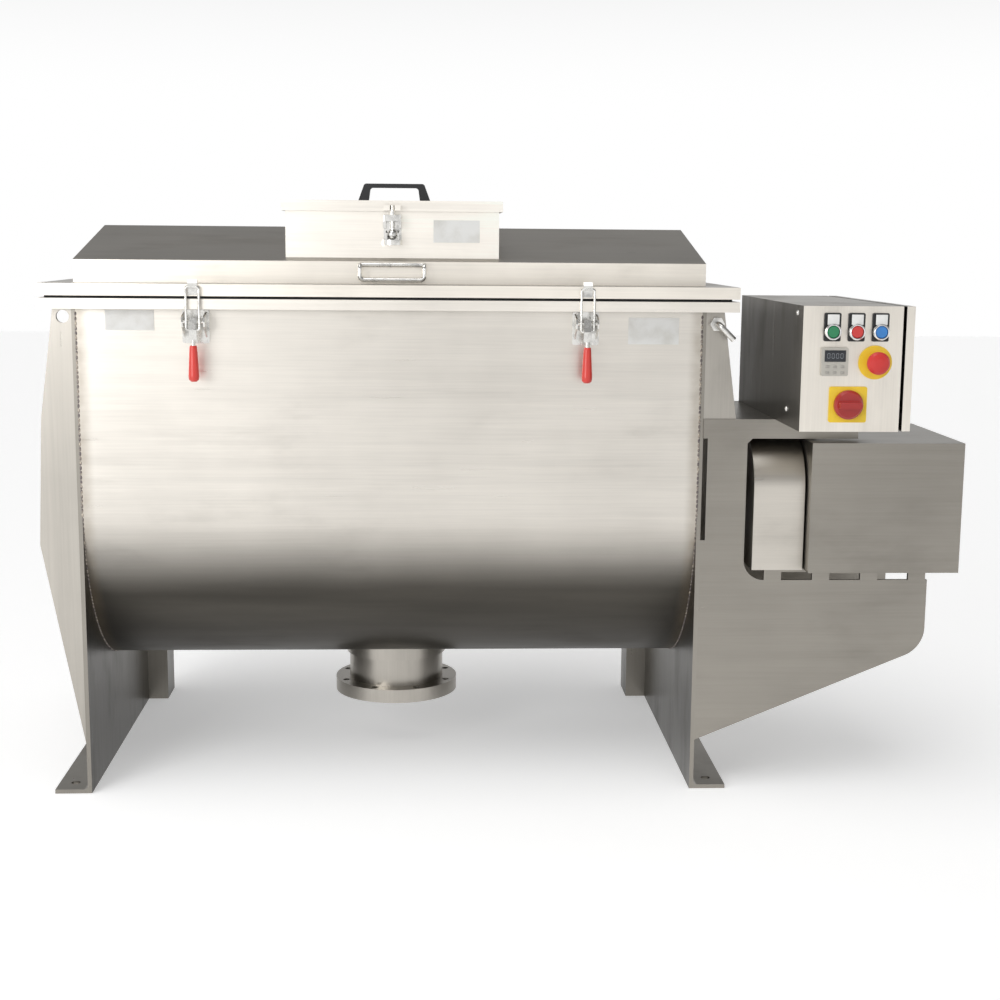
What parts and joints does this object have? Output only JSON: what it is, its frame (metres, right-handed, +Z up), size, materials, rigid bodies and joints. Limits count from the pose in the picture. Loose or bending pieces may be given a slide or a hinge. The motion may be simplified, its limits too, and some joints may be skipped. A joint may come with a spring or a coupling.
{
  "type": "ribbon blender",
  "caption": "Horizontal ribbon blender with a U trough on end plate legs, gabled lid with hatch, toggle clamps, bottom outlet and side chain drive.",
  "frame": {"origin": "centre of the floor bolt pattern on the floor, straight below the agitator shaft at mid trough", "axes": "+X along the shaft towards the drive, +Y from the front with the clamps to the hinged back, +Z up"},
  "size_m": [1.768, 1.041, 1.178],
  "materials": {
    "steel": "brushed stainless sheet",
    "agitator_steel": "satin stainless bar",
    "polished_steel": "bright stainless fittings",
    "drive_steel": "oiled dark steel",
    "grey_casting": "grey machine enamel",
    "seal_rubber": "black food rubber",
    "red_grip": "dipped red plastic",
    "black_plastic": "black moulding",
    "grey_plastic": "light grey bezel",
    "green_plastic": "green cap",
    "red_plastic": "red cap",
    "blue_plastic": "blue cap",
    "yellow_plastic": "yellow plate"
  },
  "bodies": {
    "frame": {"trough_shell": "steel", "left_end_plate": "steel", "right_end_plate": "steel", "end_gussets": "steel", "trough_rim": "steel", "rear_posts": "steel", "discharge_spout": "steel", "shaft_seal_housings": "steel", "bearing_brackets": "steel", "shaft_bearings": "grey_casting", "housing_bolts": "polished_steel", "drive_bracket_front": "steel", "drive_bracket_rear": "steel", "control_shelf": "steel", "motor_base": "steel", "gear_reducer": "grey_casting", "drive_motor": "grey_casting", "motor_cover": "steel", "chain_guard": "steel", "chain_guard_cover": "steel", "drive_chain": "drive_steel", "lid_hinge_ears": "steel", "clamp_bases": "polished_steel", "control_cabinet": "steel", "button_holders": "black_plastic", "speed_display": "grey_plastic", "estop_ring": "yellow_plastic", "switch_plate": "yellow_plastic", "purge_fitting": "polished_steel"},
    "agitator": {"main_shaft": "agitator_steel", "outer_ribbons": "agitator_steel", "inner_ribbons": "agitator_steel", "ribbon_arms": "agitator_steel", "driven_sprocket": "drive_steel"},
    "motor_drive": {"motor_sprocket": "drive_steel", "output_shaft": "polished_steel"},
    "lid": {"lid_panel": "steel", "lid_gasket": "seal_rubber", "lid_handle": "polished_steel", "lid_hinge_leaves": "steel", "hatch_curb": "steel", "hatch_latch_base": "polished_steel", "clamp_keepers": "polished_steel"},
    "hatch": {"hatch_cover": "steel", "hatch_gasket": "seal_rubber", "hatch_handle": "black_plastic"},
    "hatch_latch": {"hatch_latch_lever": "polished_steel"},
    "left_clamp": {"left_clamp_handle": "polished_steel", "left_clamp_grip": "red_grip"},
    "left_bail": {"left_clamp_bail": "polished_steel"},
    "right_clamp": {"right_clamp_handle": "polished_steel", "right_clamp_grip": "red_grip"},
    "right_bail": {"right_clamp_bail": "polished_steel"},
    "door": {"cabinet_door": "steel"},
    "green_push": {"green_button": "green_plastic"},
    "red_push": {"red_button": "red_plastic"},
    "blue_push": {"blue_button": "blue_plastic"},
    "stop_push": {"estop_button": "red_plastic"},
    "main_switch": {"main_switch_knob": "red_plastic"}
  },
  "joints": [
    {"name": "agitator_spin", "type": "hinge", "parent": "frame", "child": "agitator", "pos_m": [0, 0, 0.571], "axis": [1, 0, 0], "continuous": true, "deforming": ["drive_chain"]},
    {"name": "motor_spin", "type": "hinge", "parent": "frame", "child": "motor_drive", "pos_m": [0.738, -0.25217, 0.571], "axis": [1, 0, 0], "continuous": true},
    {"name": "lid_hinge", "type": "hinge", "parent": "frame", "child": "lid", "pos_m": [0, 0.425, 0.96], "axis": [-1, 0, 0], "range_deg": [0, 100]},
    {"name": "hatch_hinge", "type": "hinge", "parent": "lid", "child": "hatch", "pos_m": [0, 0.132, 1.128], "axis": [-1, 0, 0], "range_deg": [0, 110]},
    {"name": "hatch_latch_swing", "type": "hinge", "parent": "lid", "child": "hatch_latch", "pos_m": [0, -0.304, 1.0765], "axis": [1, 0, 0], "range_deg": [0, 100]},
    {"name": "left_clamp_pull", "type": "hinge", "parent": "frame", "child": "left_clamp", "pos_m": [-0.363, -0.4038, 0.915], "axis": [-1, 0, 0], "range_deg": [0, 120]},
    {"name": "left_bail_lift", "type": "hinge", "parent": "left_clamp", "child": "left_bail", "pos_m": [-0.363, -0.4118, 0.9006], "axis": [-1, 0, 0], "range_deg": [-120, 0]},
    {"name": "right_clamp_pull", "type": "hinge", "parent": "frame", "child": "right_clamp", "pos_m": [0.363, -0.4038, 0.915], "axis": [-1, 0, 0], "range_deg": [0, 120]},
    {"name": "right_bail_lift", "type": "hinge", "parent": "right_clamp", "child": "right_bail", "pos_m": [0.363, -0.4118, 0.9006], "axis": [-1, 0, 0], "range_deg": [-120, 0]},
    {"name": "cabinet_door_hinge", "type": "hinge", "parent": "frame", "child": "door", "pos_m": [0.9115, -0.017, 0.846], "axis": [0, 0, 1], "range_deg": [0, 110]},
    {"name": "green_button_press", "type": "slide", "parent": "frame", "child": "green_push", "axis": [0, 1, 0], "range_m": [0, 0.004], "stiffness_N_per_m": 400, "springref_m": -0.003},
    {"name": "red_button_press", "type": "slide", "parent": "frame", "child": "red_push", "axis": [0, 1, 0], "range_m": [0, 0.004], "stiffness_N_per_m": 400, "springref_m": -0.003},
    {"name": "blue_button_press", "type": "slide", "parent": "frame", "child": "blue_push", "axis": [0, 1, 0], "range_m": [0, 0.004], "stiffness_N_per_m": 400, "springref_m": -0.003},
    {"name": "stop_button_press", "type": "slide", "parent": "frame", "child": "stop_push", "axis": [0, 1, 0], "range_m": [0, 0.005], "stiffness_N_per_m": 600, "springref_m": -0.003},
    {"name": "main_switch_turn", "type": "hinge", "parent": "frame", "child": "main_switch", "pos_m": [0.813, -0.57, 0.784], "axis": [0, -1, 0], "range_deg": [0, 90]}
  ],
  "couplings": [
    {"joint": "motor_spin", "follows": "agitator_spin", "ratio": 1.4615},
    {"joint": "left_bail_lift", "follows": "left_clamp_pull", "ratio": -1},
    {"joint": "right_bail_lift", "follows": "right_clamp_pull", "ratio": -1}
  ]
}
